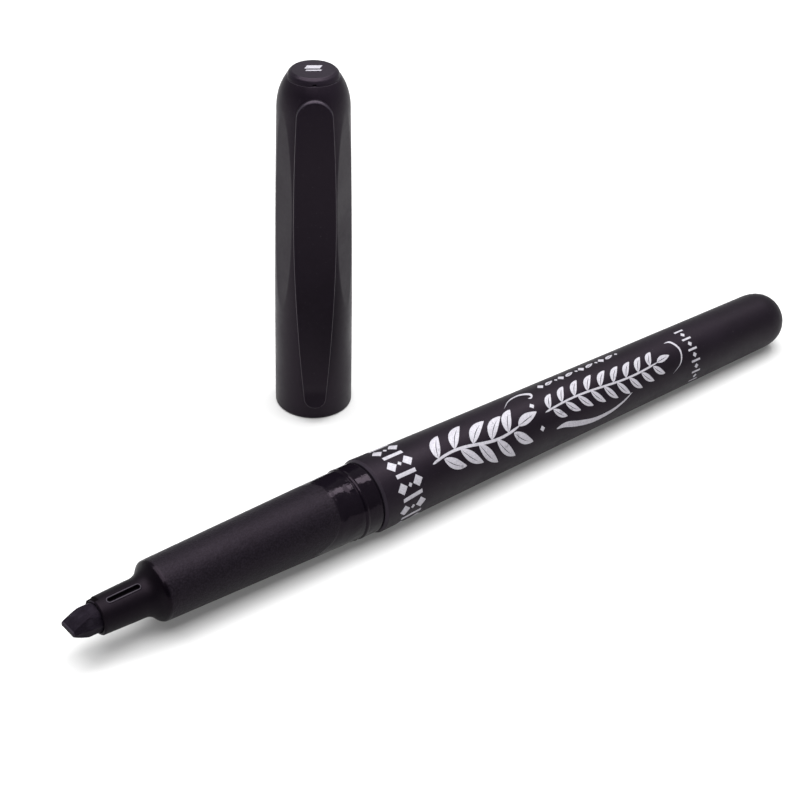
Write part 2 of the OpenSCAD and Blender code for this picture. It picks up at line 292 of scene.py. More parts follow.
def section_material(name, spec, painted_shade_scale):
    """Gloss tube, flare and neck; spark-eroded grip with a rounded end, between shoulder and neck; painted shade in the
    vents and the rim notch, painted highlight on the vent beads.
    """
    t = T(name)
    xyz = t.node("ShaderNodeSeparateXYZ", {"Vector": t.co}).outputs
    u = t.math("DIVIDE", t.math("SUBTRACT", xyz[0], PX * MM), MM)
    hgt = t.math("SUBTRACT", xyz[2], t.math("MULTIPLY", t.math("SUBTRACT", PX * MM, xyz[0]), ST))
    ang = t.math("ARCTAN2", t.math("SUBTRACT", PY * MM, xyz[1]), t.math("SUBTRACT", hgt, PZ * MM))
    two = t.math("SUBTRACT", t.math("PINGPONG", t.math("ADD", ang, math.pi - 0.52), math.pi / 2), 0.0)
    bow = t.math("MULTIPLY", t.math("POWER", t.math("DIVIDE", two, math.pi / 2), 3.0), 4.2)
    wob = t.math("MULTIPLY", t.math("SUBTRACT", t.noise(260, 2), 0.5), 0.9)
    v = t.math("ADD", t.math("ADD", u, bow), wob)
    m1 = t.node("ShaderNodeMapRange", {"Value": u, "From Min": -35.40, "From Max": -34.9}, interpolation_type="SMOOTHSTEP").outputs[0]
    m2 = t.node("ShaderNodeMapRange", {"Value": v, "From Min": -8.0, "From Max": -7.3, "To Min": 1.0, "To Max": 0.0}, interpolation_type="SMOOTHSTEP").outputs[0]
    grip = t.math("MULTIPLY", m1, m2)
    side = t.math("SUBTRACT", PY * MM, xyz[1])
    up = t.math("SUBTRACT", hgt, PZ * MM)
    rr = t.math("DIVIDE", t.math("SQRT", t.math("ADD", t.math("MULTIPLY", side, side), t.math("MULTIPLY", up, up))), MM)
    tube = t.node("ShaderNodeMapRange", {"Value": u, "From Min": -37.85, "From Max": -37.65, "To Min": 1.0, "To Max": 0.0}).outputs[0]
    # painted shade in the vents and the rim notch: tube surface below radius 2.48, behind the rim face, turns
    # near-black and rougher
    painted_cavity_shade = t.node("ShaderNodeMapRange", {"Value": rr, "From Min": 2.36, "From Max": 2.48, "To Min": 1.0, "To Max": 0.0}, interpolation_type="SMOOTHSTEP").outputs[0]
    back = t.node("ShaderNodeMapRange", {"Value": u, "From Min": -43.95, "From Max": -43.75}).outputs[0]
    painted_cavity_shade = t.math("MULTIPLY", t.math("MULTIPLY", painted_cavity_shade, tube), back)
    proud = t.math("SUBTRACT", rr, t.math("ADD", t.math("MULTIPLY", u, 0.0356), 2.60 + 0.0356 * 44.17))
    # painted highlight on the raised bead round each vent: a light colour where the surface stands proud of the tube
    painted_bead_highlight = t.node("ShaderNodeMapRange", {"Value": proud, "From Min": 0.022, "From Max": 0.065}, interpolation_type="SMOOTHSTEP").outputs[0]
    painted_bead_highlight = t.math("MULTIPLY", painted_bead_highlight, tube)
    off = t.math("ABSOLUTE", t.math("ADD", ang, 0.541))
    near = t.node("ShaderNodeMapRange", {"Value": off, "From Min": 0.535, "From Max": 0.575, "To Min": 1.0, "To Max": 0.0}).outputs[0]
    tip = t.node("ShaderNodeMapRange", {"Value": u, "From Min": -43.4, "From Max": -43.2, "To Min": 1.0, "To Max": 0.0}).outputs[0]
    near = t.math("MULTIPLY", near, tip)
    cut1 = t.node("ShaderNodeMapRange", {"Value": proud, "From Min": -0.07, "From Max": -0.02, "To Min": 1.0, "To Max": 0.0}, interpolation_type="SMOOTHSTEP").outputs[0]
    cut2 = t.node("ShaderNodeMapRange", {"Value": proud, "From Min": -0.36, "From Max": -0.29, "To Min": 1.0, "To Max": 0.0}, interpolation_type="SMOOTHSTEP").outputs[0]
    # the notch's sloped walls, also given painted shade below
    relief = t.math("MULTIPLY", near, t.math("SUBTRACT", cut1, cut2, clamp=True))
    tab = t.math("MULTIPLY", near, cut2)
    front = t.node("ShaderNodeMapRange", {"Value": u, "From Min": -36.5, "From Max": -35.0, "To Min": 1.0, "To Max": 0.0}).outputs[0]
    vor = t.node("ShaderNodeTexVoronoi", {"Vector": t.co, "Scale": 4600.0}, feature="SMOOTH_F1").outputs["Distance"]
    spark = t.math("ADD", t.math("MULTIPLY", vor, 0.7), t.math("MULTIPLY", t.noise(3600, 3, 0.6), 0.9))
    big = t.noise(180, 3)
    mid = t.noise(1300, 2)
    grain = t.remap(t.noise(4800, 2), 0.40, 0.64, 0.0, 1.0)
    # the last argument scales the gloss colour; below 1 it is painted shade
    gloss_c = t.mixc(t.remap(big, 0.35, 0.65, 0, 1), (0.0026 * painted_shade_scale, 0.0018 * painted_shade_scale, 0.0033 * painted_shade_scale, 1), (0.0036 * painted_shade_scale, 0.0026 * painted_shade_scale, 0.0044 * painted_shade_scale, 1))
    grip_c = t.mixc(grain, (0.0026, 0.0020, 0.0031, 1), (0.0084, 0.0068, 0.0098, 1))
    col = t.mixc(grip, gloss_c, grip_c)
    # painted highlight on the vent beads
    col = t.mixc(painted_bead_highlight, col, (0.046, 0.041, 0.050, 1))
    col = t.mixc(tab, col, (0.012, 0.010, 0.014, 1))
    # painted shade: near-black colour in the vents, the notch and its sloped walls
    painted_cavity_shade = t.math("MAXIMUM", painted_cavity_shade, relief)
    col = t.mixc(painted_cavity_shade, col, (0.0006, 0.0005, 0.0007, 1))
    rough_gloss = t.math("ADD", t.math("MULTIPLY", front, 0.33), t.remap(big, 0.3, 0.7, 0.10, 0.16))
    rough = t.math("ADD", t.math("MULTIPLY", grip, 0.36), rough_gloss)
    rough = t.math("ADD", rough, t.math("MULTIPLY", painted_cavity_shade, 0.5), clamp=True)
    calm = t.math("SUBTRACT", 1.0, t.math("MULTIPLY", front, 0.7))
    n = t.bump(t.math("MULTIPLY", t.math("ADD", mid, t.math("MULTIPLY", t.noise(520, 3), 2.6)), calm), 0.000030, 0.9)
    h = t.math("MULTIPLY", spark, grip)
    n = t.bump(h, 0.000042, 1.0, n)
    t.set(Base_Color=col, Roughness=rough, Normal=n, IOR=1.49, Specular_IOR_Level=spec, Specular_Tint=TINT)
    return t.m

def felt_material():
    t = T("black_felt")
    streak = t.noise(1.0, 4, 0.6, t.mapped((900.0, 6500.0, 6500.0)))
    speck = t.noise(9000, 2)
    c = t.mixc(t.remap(streak, 0.3, 0.7, 0, 1), (0.0012, 0.0009, 0.0019, 1), (0.0068, 0.0052, 0.0090, 1))
    c = t.mixc(t.ramp(speck, 0.62, 0.72), c, (0.014, 0.012, 0.017, 1))
    xyz = t.node("ShaderNodeSeparateXYZ", {"Vector": t.co}).outputs
    u = t.math("DIVIDE", t.math("SUBTRACT", xyz[0], PX * MM), MM)
    k1 = t.node("ShaderNodeMapRange", {"Value": u, "From Min": -NIB - 0.02, "From Max": -NIB + 0.05}, interpolation_type="SMOOTHSTEP").outputs[0]
    k2 = t.node("ShaderNodeMapRange", {"Value": u, "From Min": -NIB + 0.10, "From Max": -NIB + 0.26, "To Min": 1.0, "To Max": 0.0}, interpolation_type="SMOOTHSTEP").outputs[0]
    c = t.mixc(t.math("MULTIPLY", k1, k2), c, (0.022, 0.019, 0.026, 1))
    fuzz = t.ramp(t.noise(700, 3), 0.50, 0.66)
    c = t.mixc(t.math("MULTIPLY", fuzz, 0.45), c, (0.015, 0.0125, 0.018, 1))
    r = t.remap(streak, 0.3, 0.7, 0.50, 0.75)
    n = t.bump(streak, 0.000018, 0.8)
    n = t.bump(speck, 0.000010, 0.7, n)
    t.set(Base_Color=c, Roughness=r, Normal=n, Specular_IOR_Level=0.07, Specular_Tint=TINT)
    return t.m

def print_material():
    t = T("silver_print")
    g = t.noise(4200, 3)
    worn = t.ramp(t.noise(900, 4), 0.30, 0.36, (0.185, 0.179, 0.200, 1), (0.350, 0.338, 0.376, 1))
    c = t.mixc(t.remap(g, 0.38, 0.66, 0, 0.6), worn, (0.215, 0.207, 0.232, 1))
    t.set(Base_Color=c, Roughness=t.remap(g, 0.3, 0.7, 0.42, 0.6), Normal=t.bump(g, 0.000003, 0.6), Metallic=0.15)
    return t.m

# the front copy is the same plastic with lower specular and its gloss colour darkened to 0.6 as painted shade
M_section, M_tube_shaded = section_material("section", 0.092, 1.0), section_material("section_front_shaded", 0.072, 0.60)
M_felt, M_print = felt_material(), print_material()

# ------------------------------------------------------------------- barrel
COL = 256
phi = np.linspace(0, 2 * math.pi, COL, endpoint=False)
def revolve_pen(name, prof, mat, replaces=(), closed=False, cols=COL, rfun=None):
    ph = np.linspace(0, 2 * math.pi, cols, endpoint=False)
    P = pen(prof[:, 1][:, None], ph[None, :], prof[:, 0][:, None])
    v, f = grid(P, True, closed)
    return make(name, v, f, mat, "marker", replaces)

def dome_r(u):
    s = np.clip((u - DOME) / (BL - DOME), 0, 1)
    return barrel_r(DOME) * (1 - s ** 2.6) ** (1 / 2.6)

rim = fillet([(4.36, 3.0), (4.36, -0.30), (4.50, -0.45), (5.26, -0.45), (5.585, -0.06), (float(barrel_r(1.5)), 1.5)],
             [0, 0.05, 0.05, 0.07, 0.14, 0], 6)
ub = np.concatenate([np.linspace(2.0, DOME, 90)[:-1], DOME + (BL - DOME) * np.sin(np.linspace(0, 1, 40) * math.pi / 2) ** 1.0])
outer = [(float(barrel_r(u)) if u <= DOME else float(dome_r(u)), float(u)) for u in ub]
outer[-1] = (0.0, BL)
inner = resample([(0, 83.3), (2.4, 83.3), (3.85, 78.0), (3.85, 12.6), (4.36, 12.6), (4.36, 3.1)], 4.0)
prof = np.array([tuple(p) for p in inner] + [tuple(p) for p in rim] + outer)
barrel = revolve_pen("marker_barrel", prof, M_barrel, ("barrel",))

# ------------------------------------------------------------- grip section
TR, TRR, FL, SH, SHR = 2.6, 2.8, 2.4, 35.29, 4.38
def flare_pts():
    out = []
    for k in range(15):
        a = math.radians(49) * k / 14
        out.append((TRR + FL * (1 - math.cos(a)), -38.1 + FL * math.sin(a)))
    for k in range(13):
        a = math.radians(49) * (1 - k / 12)
        out.append((SHR - 0.75 + 0.75 * math.cos(a), -SH - 0.75 * math.sin(a)))
    return out
head = fillet([(2.10, -37.5), (2.10, -44.05), (2.24, -44.34), (2.46, -44.34), (2.60, -44.17), (2.77, -39.4)],
              [0, 0.06, 0.05, 0.05, 0.08, 0], 5)
neck = fillet([(5.045, -8.4), (5.06, -7.9), (5.10, -3.78), (5.27, -3.56), (5.30, -3.36), (5.26, -3.10), (5.28, -0.88), (5.16, -0.56), (4.34, -0.56), (4.34, 2.5)],
              [0, 0.3, 0.10, 0.10, 0.12, 0.15, 0.15, 0.05, 0.04, 0], 5)
def row_step(r, u):
    if u < -37.4 and r > 2.2:
        return 0.045
    if u < -35:
        return 0.08
    if -5.6 < u < -2.9 and r > 4.9:
        return 0.06
    return 0.4
inner_s = [(4.34, 11.6), (4.04, 12.0), (3.5, 12.0), (3.5, -28.5), (1.95, -30.3), (1.95, -31.9), (2.10, -32.0), (2.10, -37.4)]
body_pts = [tuple(p) for p in head] + flare_pts() + [(5.03, -8.8)] + [tuple(p) for p in neck]
prof = np.concatenate([resample(inner_s, 3.0), resample(body_pts, row_step), resample([(4.34, 2.6), (4.34, 11.5)], 3.0)])
SC = 420
ph = np.linspace(0, 2 * math.pi, SC, endpoint=False)
Rg = np.repeat(prof[:, 0][:, None], SC, 1)
Ug = np.repeat(prof[:, 1][:, None], SC, 1)
out_mask = np.zeros(len(prof), bool)
out_mask[len(resample(inner_s, 3.0)):] = True
PH = np.repeat(ph[None, :], len(prof), 0)
def wrapd(a):
    return (a + math.pi) % (2 * math.pi) - math.pi
rr_ref = 2.7
outer_tube = out_mask[:, None] & (Rg > 2.3) & (Ug < -36.5)
for k in range(2):                       # long vents with a raised rounded border
    d = wrapd(PH - math.radians(17) - k * math.pi) * rr_ref
    uc = np.clip(Ug, -42.50, -38.30)
    dist = np.hypot(d, Ug - uc)
    dent = 0.52 * (1 - sstep(dist, 0.19, 0.33))
    bead = 0.085 * np.exp(-((dist - 0.41) / 0.085) ** 2)
    Rg = np.where(outer_tube, Rg - dent + bead, Rg)
# sloped relief cut into one side of the front rim
d = np.abs(wrapd(PH + math.radians(31))) * rr_ref
m = 1 - sstep(d, 1.42, 1.50)
ramp_r = np.clip(2.19 + 0.56 * (Ug + 44.34), 2.15, 9.0)
tube_front = out_mask[:, None] & (Ug < -42.5) & (Rg > 2.13)
Rg = np.where(tube_front, Rg + (np.minimum(Rg, ramp_r) - Rg) * m, Rg)
for k in range(3):                       # oval snap pads, dished in the middle
    d = wrapd(PH - math.radians(22) - k * 2 * math.pi / 3) * 5.1
    q = np.hypot(d / 0.78, (Ug + 4.42) / 0.60)
    pad = 0.11 * np.exp(-((q - 0.80) / 0.24) ** 2) + 0.03 * (q < 0.8)
    Rg = np.where(out_mask[:, None] & (Ug < -3.45) & (Ug > -6), Rg + pad, Rg)
# shallow sink marks on the moulded neck
seat = out_mask[:, None] & (Ug > -8.0) & (Ug < -0.9)
sink = 0.022 * np.sin(3 * PH + 0.6) * np.sin((Ug + 8.0) * 1.35) + 0.012 * np.sin(7 * PH + 2.0 * Ug)
Rg = np.where(seat & (Ug < -3.6), Rg + sink * sstep(Ug, -8.0, -7.2) * (1 - sstep(Ug, -4.2, -3.7)), Rg)
v, f = grid(pen(Ug, PH, Rg), True, False)
section = make("marker_section", v, f, M_section, "marker", ("grip_section",))
section.data.materials.append(M_tube_shaded)
o_pen, a_pen = pen(0.0, 0.0, 0.0), pen(1.0, 0.0, 0.0) - pen(0.0, 0.0, 0.0)
for p in section.data.polygons:                     # brighter polish stops at the shoulder; in front of it the gloss colour is also darkened as painted shade
    if float((np.array(p.center) - o_pen) @ a_pen) / float(a_pen @ a_pen) < -35.25:
        p.material_index = 1

# ---------------------------------------------------------------------- nib
NR = 2.05
ET = 0.30
fr = ((NIB - 43.2) ** 2 + (NR + 0.01 - ET) ** 2) / (2 * (NR + 0.01 - ET))
us = np.concatenate([-NIB + np.array([0.0, 0.012, 0.03, 0.06, 0.10]), np.linspace(-NIB + 0.15, -43.0, 120), np.linspace(-42.6, -32.8, 20)])
th = np.linspace(0, 2 * math.pi, 300, endpoint=False)
U, TH = np.meshgrid(us, th, indexing="ij")
half_x = np.where(U < -43.2, np.sqrt(np.maximum(fr ** 2 - (U + 43.2) ** 2, 0)) - (fr - NR - 0.01), 9.0)
s0 = 1.55 + 0.53 * (1 - (1 - np.clip((U + NIB) / 4.0, 0, 1)) ** 1.5)
inset = -0.035 * (1 - np.sqrt(np.clip(1 - (1 - (U + NIB) / 0.10) ** 2, 0, 1))) * (U < -NIB + 0.10)
hx = half_x + inset
c, s = np.abs(np.cos(TH)) + 1e-6, np.abs(np.sin(TH)) + 1e-6
side_r = (s0 + inset) / (s + 0.38 * c)
rad = smin(smin(np.full_like(U, NR), hx / c, 0.04), side_r, 0.02)
rad = np.clip(rad, 0.02, NR)
nz = rng.normal(0, 0.004, rad.shape)
nz = (nz + np.roll(nz, 1, 1) + np.roll(nz, 1, 0)) / 1.7
rad = rad + nz * (U < -43.9)
P = pen(U, TH, rad)
m_ax = pen(-NIB, math.pi / 2, 0.0)
ends = [np.repeat(m_ax[None, None, :], 300, 1)]
for t in (0.25, 0.5, 0.75, 0.92):
    ends.append(pen(np.full((1, 300), -NIB - 0.0), th[None, :], rad[0][None, :] * t))
cap0 = np.concatenate(ends)
tail = np.array([(NR, -32.6), (1.6, -32.0), (1.6, -22.6), (0.9, -20.4), (0.0, -20.4)])
tail = resample(tail, 2.0)
P2 = pen(tail[:, 1][:, None], th[None, :], tail[:, 0][:, None])
v, f = grid(np.concatenate([cap0, P, P2]), True, False)
nib = make("felt_nib", v, f, M_felt, "marker", ("chisel_nib",))

# ---------------------------------------------------------------- cap shell
CR, CTAP, LZ, LR = 6.0, 0.62, 55.30, 3.98
def cap_rad(z):
    return CR - CTAP * (np.maximum(z, 0) / 50.0) ** 1.9
def shoulder(z):
    a = float(cap_rad(50.0))
    return a - (a - LR - 0.01) * np.clip((z - 50) / (LZ - 50), 0, 1) ** 2.45
CLW, CZ0, CZ1, CTOP = 3.14, 3.2 + 1.5, 53.9 - 2.63, 53.9
def clip_w(z):
    return CLW * (1 - np.where(z > 33, 0.19 * ((z - 33) / 20) ** 2, 0) - 0.45 * (np.maximum(0, 33 - z) / 28) ** 1.75)
R1, R0 = float(clip_w(CZ1)), float(clip_w(CZ0))
def clip_inside(x, z):
    """Signed distance into the clip's outline, positive inside (near enough)."""
    core = clip_w(z) - np.abs(x)
    top = R1 - np.hypot(x, z - CZ1)
    bot = R0 - np.hypot(x, z - CZ0)
    return np.where(z > CZ1, top, np.where(z < CZ0, bot, core))
low = fillet([(5.17, 10.0), (5.17, 4.9), (5.33, 4.8), (5.33, 3.75), (5.345, 3.6), (5.34, 0.2), (5.44, 0.0), (5.68, 0.0), (5.90, 0.10), (6.0 - 0.004, 0.36), (float(cap_rad(1.2)), 1.2)],
             [0, 0.04, 0.04, 0.02, 0, 0.05, 0.03, 0.08, 0.12, 0.1, 0], 5)
zs = np.concatenate([np.linspace(1.4, 50, 150), 50 + (LZ - 50) * np.sin(np.linspace(0, 1, 46)[1:-1] * math.pi / 2)])
outer = [(float(cap_rad(z)) if z <= 50 else float(shoulder(z)), float(z)) for z in zs]
topr = fillet([outer[-1], (LR, LZ), (3.885, LZ + 0.005), (3.88, 54.4), (2.92, 54.4)], [0, 0.035, 0.035, 0.02, 0], 4)
inn = resample([(2.92, 54.3), (2.92, 52.0), (4.2, 52.0), (4.2, 45.0), (4.72, 44.4), (4.72, 20.7), (5.17, 17.7), (5.17, 10.2)], 3.0)
prof = np.array([tuple(p) for p in resample([tuple(q) for q in low], 1.2)] + outer[:-1] + [tuple(p) for p in topr] + [tuple(p) for p in inn])
n_low = len(resample([tuple(q) for q in low], 1.2))
CCOL = 360
az = np.linspace(-math.pi, math.pi, CCOL, endpoint=False)
Rg = np.repeat(prof[:, 0][:, None], CCOL, 1)
Zg = np.repeat(prof[:, 1][:, None], CCOL, 1)
AZ = np.repeat(az[None, :], len(prof), 0)
is_out = np.zeros(len(prof), bool)
is_out[n_low - 2:n_low + len(outer) - 1] = True
for s_ in (-1, 1):
    da = wrapd(AZ - s_ * math.radians(58))
    lin = cap_rad(35.0) + (Zg - 35) * -0.0163
    dz = np.clip((Zg - 35) / 16.0, -2.2, 2.2)
    plane = lin - 0.43 + 0.38 * dz ** 2
    cut = plane / np.maximum(np.cos(da), 0.2)
    cut = np.where(np.abs(da) < 1.2, cut, 99.0)
    cut = np.where((Zg > 8) & (Zg < 54), cut, 99.0)
    Rg = np.where(is_out[:, None], smin(Rg, cut, 0.035), Rg)
# low pedestal under the root of the clip
xs = Rg * np.sin(AZ)
ped = 0.03 * sstep(clip_inside(xs, Zg), 0.02, 0.16) * sstep(Zg, 45.5, 48.5) * (np.cos(AZ) > 0)
Rg = np.where(is_out[:, None], Rg + ped, Rg)
v, f = grid(cap_pol(AZ, Rg, Zg), True, True)
capshell = make("marker_cap_shell", v, f, M_cap, "cap", ("cap_shell",))

# ----------------------------------------------------------------- end plug
pp = fillet([(0.0, 54.42), (3.86, 54.42), (3.87, 55.34), (3.83, 55.54), (3.60, 56.00), (3.20, 56.34), (0.0, 56.37)],
            [0, 0.03, 0.06, 0.35, 0.6, 0.25, 0], 8)
prof = resample([tuple(p) for p in pp], lambda r, z: 0.05 if z > 54.9 and r > 3.2 else 0.5)
az2 = np.linspace(-math.pi, math.pi, 360, endpoint=False)
Rg = np.repeat(prof[:, 0][:, None], 360, 1)
Zg = np.repeat(prof[:, 1][:, None], 360, 1)
AZ = np.repeat(az2[None, :], len(prof), 0)
m = (1 - sstep(np.abs(AZ) * 3.7, 0.24, 0.32)) * sstep(Zg, 55.30, 55.36) * (1 - sstep(Zg, 55.56, 55.64))
Rg = np.where(Rg > 3.0, Rg - 0.34 * m, Rg)
v, f = grid(cap_pol(AZ, Rg, Zg), True, False)
plug_stem = resample([(2.9, 54.42), (2.9, 52.4), (2.2, 52.4), (2.2, 54.0)], 1.0)
v2, f2 = grid(cap_pol(az2[None, :], plug_stem[:, 0][:, None], plug_stem[:, 1][:, None]), True, False)
f2 = [[i + len(v) for i in q] for q in f2]
plug = make("marker_cap_plug", np.concatenate([v, v2]), f + f2, M_gloss, "cap", ("cap_end_plug",))

# --------------------------------------------------------------------- clip
CH, ARCH = 0.15, 2.2
def outline(inset, n_side=70, n_arc=30):
    """Closed loop of the clip seen from the front, inset mm inside the outline, with its medial point."""
    pts, med = [], []
    side = inset
    for k in range(n_arc + 1):                      # top arc, right to left
        a = math.pi * k / n_arc
        inset = side * (1 + ARCH * math.sin(a) ** 1.5)
        pts.append(((R1 - inset) * math.cos(a), CZ1 + (R1 - inset) * math.sin(a)))
        med.append((0, CZ1))
    inset = side
    zz = np.linspace(CZ1, CZ0, n_side + 2)[1:-1]
    for z in zz:
        pts.append((-(clip_w(z) - inset), z))
        med.append((0, z))
    for k in range(n_arc + 1):
        a = math.pi + math.pi * k / n_arc
        pts.append(((R0 - inset) * math.cos(a), CZ0 + (R0 - inset) * math.sin(a)))
        med.append((0, CZ0))
    for z in zz[::-1]:
        pts.append((clip_w(z) - inset, z))
        med.append((0, z))
    return np.array(pts, float), np.array(med, float)

PROUD = 1.1
def y_face(z):
    """Distance of the clip's flat front face from the cap axis."""
    s_ = np.clip((z - 6.6) / 46.95, 0, 1.02)
    y = CR + PROUD - 0.20 * s_ - 0.45 * s_ ** 2 - 0.75 * s_ ** 8
    dip = -0.10 * np.exp(-((z - 5.9) / 0.55) ** 2)
    out = 0.40 * np.clip((5.5 - z) / 2.1, 0, 1.1) ** 1.2
    return y + dip + out
def y_back(x, z):
    r = np.where(z <= 50, cap_rad(z), shoulder(np.minimum(z, LZ - 0.05))) + 0.30
    return np.sqrt(np.maximum(r ** 2 - x ** 2, 0.5))
rows = []
med = outline(0)[1]
for t in (1.0, 0.85, 0.7, 0.55, 0.4, 0.28, 0.18, 0.1, 0.045, 0.015):
    o, _ = outline(CH * 1.02)
    q = o + (med - o) * t
    crown = 0.0
    rows.append(cap(q[:, 0], -(y_face(q[:, 1]) + crown), q[:, 1]))
for k in range(8):                                   # rounded edge, broad over the arch
    a = math.pi / 2 * k / 7
    o, _ = outline(CH * (1 - math.sin(a)))
    lift = 1 + ARCH * np.clip((o[:, 1] - CZ1) / R1, 0, 1) ** 1.5
    rows.append(cap(o[:, 0], -(y_face(o[:, 1]) - CH * lift * (1 - math.cos(a))), o[:, 1]))
for w in (0.06, 0.3, 0.6, 0.85, 0.97):
    o, _ = outline(0.0)
    yf, yb = y_face(o[:, 1]) - CH * (1 + ARCH * np.clip((o[:, 1] - CZ1) / R1, 0, 1) ** 1.5), y_back(o[:, 0], o[:, 1])
    yb = np.minimum(yb, yf - 0.02)
    rows.append(cap(o[:, 0], -(yf + (yb - yf) * w), o[:, 1]))
for t in (0.0, 0.02, 0.1, 0.25, 0.45, 0.7, 1.0):     # hollow back
    o, _ = outline(0.03)
    q = o + (med - o) * t
    yb = np.minimum(y_back(q[:, 0], q[:, 1]), y_face(q[:, 1]) - CH - 0.02)
    rows.append(cap(q[:, 0], -yb, q[:, 1]))
v, f = grid(np.stack(rows), True, False)
clip = make("marker_pocket_clip", v, f, M_clip, "clip", ("pocket_clip",))
# round root between clip and cap wall
rt = resample([(0.0, -1.5), (0.44, -1.5), (0.52, -1.42), (0.52, 1.42), (0.44, 1.5), (0.0, 1.5)], 0.5)
ra = np.linspace(0, 2 * math.pi, 48, endpoint=False)
P = cap(rt[:, 1][:, None], -5.5 + rt[:, 0][:, None] * np.cos(ra)[None, :], 50.0 + rt[:, 0][:, None] * np.sin(ra)[None, :])
v, f = grid(P, True, False)
make("clip_root", v, f, M_clip, "clip")

# -------------------------------------------------------------- CAD insides
for n, m in (("ink_reservoir_core", M_core), ("reservoir_film_sleeve", M_film), ("inner_cap_seal", M_liner)):
    N[n].data.materials.clear()
    N[n].data.materials.append(m)

# -------------------------------------------------------------------- print
def catmull(pts, per=14, closed=False):
    P = [np.array(p, float) for p in pts]
    P = [2 * P[0] - P[1]] + P + [2 * P[-1] - P[-2]]
    out = []
    for i in range(1, len(P) - 2):
        a, b, c, d = P[i - 1:i + 3]
        for k in range(per):
            t = k / per
            out.append(0.5 * (2 * b + (c - a) * t + (2 * a - 5 * b + 4 * c - d) * t * t + (3 * b - a - 3 * c + d) * t ** 3))
    out.append(P[-2])
    return np.array(out)

class Ink:
    """Broad-pen marks laid on the barrel: (u, v) in mm, v counted round the barrel, up the print."""
    def __init__(self, phi0):
        self.v, self.f, self.phi0 = [], [], math.radians(phi0)
        self.lift = 0.014

    def put(self, pts2, faces):
        base = len(self.v)
        pts2 = np.asarray(pts2, float)
        r = barrel_r(pts2[:, 0])
        ph_ = self.phi0 - pts2[:, 1] / r
        self.v += pen(pts2[:, 0], ph_, r + self.lift).tolist()
        self.f += [[i + base for i in q] for q in faces]
        self.lift += 0.00015

    def stroke(self, pts, w=1.0, h=0.16, ang=38, taper=(0.0, 0.0), per=14, across=6):
        p = catmull(pts, per)
        d = np.gradient(p, axis=0)
        d /= np.linalg.norm(d, axis=1)[:, None] + 1e-9
        nrm = np.stack([-d[:, 1], d[:, 0]], 1)
        a = np.array([math.cos(math.radians(ang)), math.sin(math.radians(ang))])
        b = np.array([-a[1], a[0]])
        A, B = w / 2, h / 2
        na, nb = nrm @ a, nrm @ b
        L = np.sqrt((A * na) ** 2 + (B * nb) ** 2)
        off = (A * A * na)[:, None] * a + (B * B * nb)[:, None] * b
        off /= L[:, None] + 1e-9
        s = np.linspace(0, 1, len(p))
        k = np.ones_like(s)
        if taper[0]:
            k *= np.clip(s / taper[0], 0, 1) ** 0.6
        if taper[1]:
            k *= np.clip((1 - s) / taper[1], 0, 1) ** 0.6
        off *= np.maximum(k, 0.02)[:, None]
        g = np.stack([p + off * w_ for w_ in np.linspace(-1, 1, across + 1)], 1)
        R, C = g.shape[:2]
        idx = np.arange(R * C).reshape(R, C)
        q = np.stack([idx[:-1, :-1], idx[:-1, 1:], idx[1:, 1:], idx[1:, :-1]], -1).reshape(-1, 4).tolist()
        self.put(g.reshape(-1, 2), q)

    def quad(self, c, w, h, ang=0, slant=0.0, n=6):
        """Diamond, bar or parallelogram."""
        a = math.radians(ang)
        s = np.linspace(-0.5, 0.5, n + 1)
        X, Y = np.meshgrid(s * w, s * h, indexing="ij")
        X = X + Y * slant
        g = np.stack([c[0] + X * math.cos(a) - Y * math.sin(a), c[1] + X * math.sin(a) + Y * math.cos(a)], -1)
        idx = np.arange((n + 1) ** 2).reshape(n + 1, n + 1)
        q = np.stack([idx[:-1, :-1], idx[:-1, 1:], idx[1:, 1:], idx[1:, :-1]], -1).reshape(-1, 4).tolist()
        self.put(g.reshape(-1, 2), q)

    def done(self, name):
        return make(name, self.v, self.f, M_print, "marker", smooth=True, merge=0, flip=None)

# ring of bars and diamonds behind the barrel's front edge
ink = Ink(44)
r_b = float(barrel_r(4.4))
reps = 10
for k in range(reps):
    v0 = 2 * math.pi * r_b * (k + 0.1) / reps
    st = 2 * math.pi * r_b / reps
    ink.quad((4.45, v0), 3.5, 0.60, slant=0.0)
    ink.quad((2.95, v0 + st * 0.5), 1.28, 1.28, ang=45)
    ink.quad((5.85, v0 + st * 0.5), 1.28, 1.28, ang=45)
    ink.quad((4.40, v0 + st * 0.5), 0.52, 0.52, ang=45)

def petal(c, length, w, ang, curl=0.0, gap=0.11, thick=1.18, thin=0.80):
    """Pointed leaf in two halves with an open midrib, one half broader as from a broad pen."""
    a = math.radians(ang)
    d, n = np.array([math.cos(a), math.sin(a)]), np.array([-math.sin(a), math.cos(a)])
    t = np.linspace(0, 1, 16)
    p = np.array(c, float) + d * (length * t)[:, None] + n * (curl * np.sin(math.pi * t * 0.9))[:, None]
    g = np.gradient(p, axis=0)
    g /= np.linalg.norm(g, axis=1)[:, None]
    nn = np.stack([-g[:, 1], g[:, 0]], 1)
    half = 0.5 * w * np.sin(math.pi * t ** 0.82) ** 0.8
    for side, k in ((1, thick), (-1, thin)):
        hw = np.maximum(half * k, 0.0)
        g0 = np.minimum(0.5 * gap * np.sin(math.pi * np.clip(t * 1.25, 0, 1)), hw)
        q = np.linspace(0, 1, 5) if side > 0 else np.linspace(1, 0, 5)
        grid_ = np.stack([p + nn * (side * (g0 + (hw - g0) * w_))[:, None] for w_ in q], 1)
        R, C = grid_.shape[:2]
        idx = np.arange(R * C).reshape(R, C)
        f_ = np.stack([idx[:-1, :-1], idx[:-1, 1:], idx[1:, 1:], idx[1:, :-1]], -1).reshape(-1, 4).tolist()
        ink.put(grid_.reshape(-1, 2), f_)

def dot(c, size=0.8):
    ink.quad(c, size, size, ang=45)

